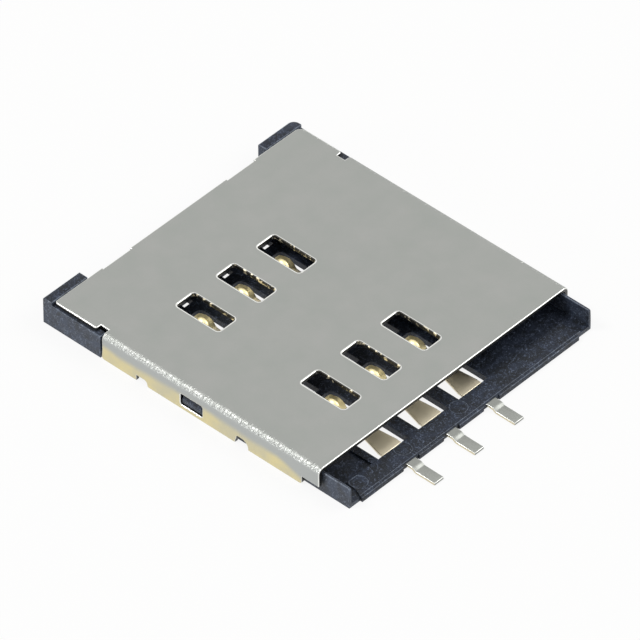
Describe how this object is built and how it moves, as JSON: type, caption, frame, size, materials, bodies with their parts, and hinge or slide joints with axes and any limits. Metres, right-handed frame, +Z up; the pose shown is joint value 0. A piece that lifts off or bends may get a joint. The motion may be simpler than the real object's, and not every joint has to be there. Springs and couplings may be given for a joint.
{
  "type": "sim card socket",
  "caption": "Low-profile surface-mount SIM card socket with a folded metal shell, a dark moulded base and sprung gold contacts.",
  "frame": {"origin": "on the board under the middle of the shell's plate, on the card's centre line", "axes": "+X across the card, +Y the way the card goes in (the mouth faces -Y), +Z up from the board"},
  "size_m": [0.0158, 0.0193, 0.0014],
  "materials": {
    "housing": "moulded, dark blue-black",
    "shell": "satin nickel plate",
    "contact": "gold flash on a tinned bronze strip"
  },
  "bodies": {
    "frame": {"housing": "housing", "shell": "shell", "front_left_tail": "contact", "front_middle_tail": "contact", "front_right_tail": "contact", "rear_left_tail": "contact", "rear_middle_tail": "contact", "rear_right_tail": "contact"},
    "front_left_spring": {"front_left_arm": "contact"},
    "front_middle_spring": {"front_middle_arm": "contact"},
    "front_right_spring": {"front_right_arm": "contact"},
    "rear_left_spring": {"rear_left_arm": "contact"},
    "rear_middle_spring": {"rear_middle_arm": "contact"},
    "rear_right_spring": {"rear_right_arm": "contact"}
  },
  "joints": [
    {"name": "front_left_press", "type": "hinge", "parent": "frame", "child": "front_left_spring", "pos_m": [-0.0039, -0.00826, 0.00017], "axis": [-1, 0, 0], "range_deg": [0, 8.6], "stiffness_Nm_per_rad": 0.011},
    {"name": "front_middle_press", "type": "hinge", "parent": "frame", "child": "front_middle_spring", "pos_m": [-0.00136, -0.00826, 0.00017], "axis": [-1, 0, 0], "range_deg": [0, 8.6], "stiffness_Nm_per_rad": 0.011},
    {"name": "front_right_press", "type": "hinge", "parent": "frame", "child": "front_right_spring", "pos_m": [0.00118, -0.00826, 0.00017], "axis": [-1, 0, 0], "range_deg": [0, 8.6], "stiffness_Nm_per_rad": 0.011},
    {"name": "rear_left_press", "type": "hinge", "parent": "frame", "child": "rear_left_spring", "pos_m": [-0.0039, -0.00064, 0.00017], "axis": [-1, 0, 0], "range_deg": [0, 8.6], "stiffness_Nm_per_rad": 0.011},
    {"name": "rear_middle_press", "type": "hinge", "parent": "frame", "child": "rear_middle_spring", "pos_m": [-0.00136, -0.00064, 0.00017], "axis": [-1, 0, 0], "range_deg": [0, 8.6], "stiffness_Nm_per_rad": 0.011},
    {"name": "rear_right_press", "type": "hinge", "parent": "frame", "child": "rear_right_spring", "pos_m": [0.00118, -0.00064, 0.00017], "axis": [-1, 0, 0], "range_deg": [0, 8.6], "stiffness_Nm_per_rad": 0.011}
  ]
}
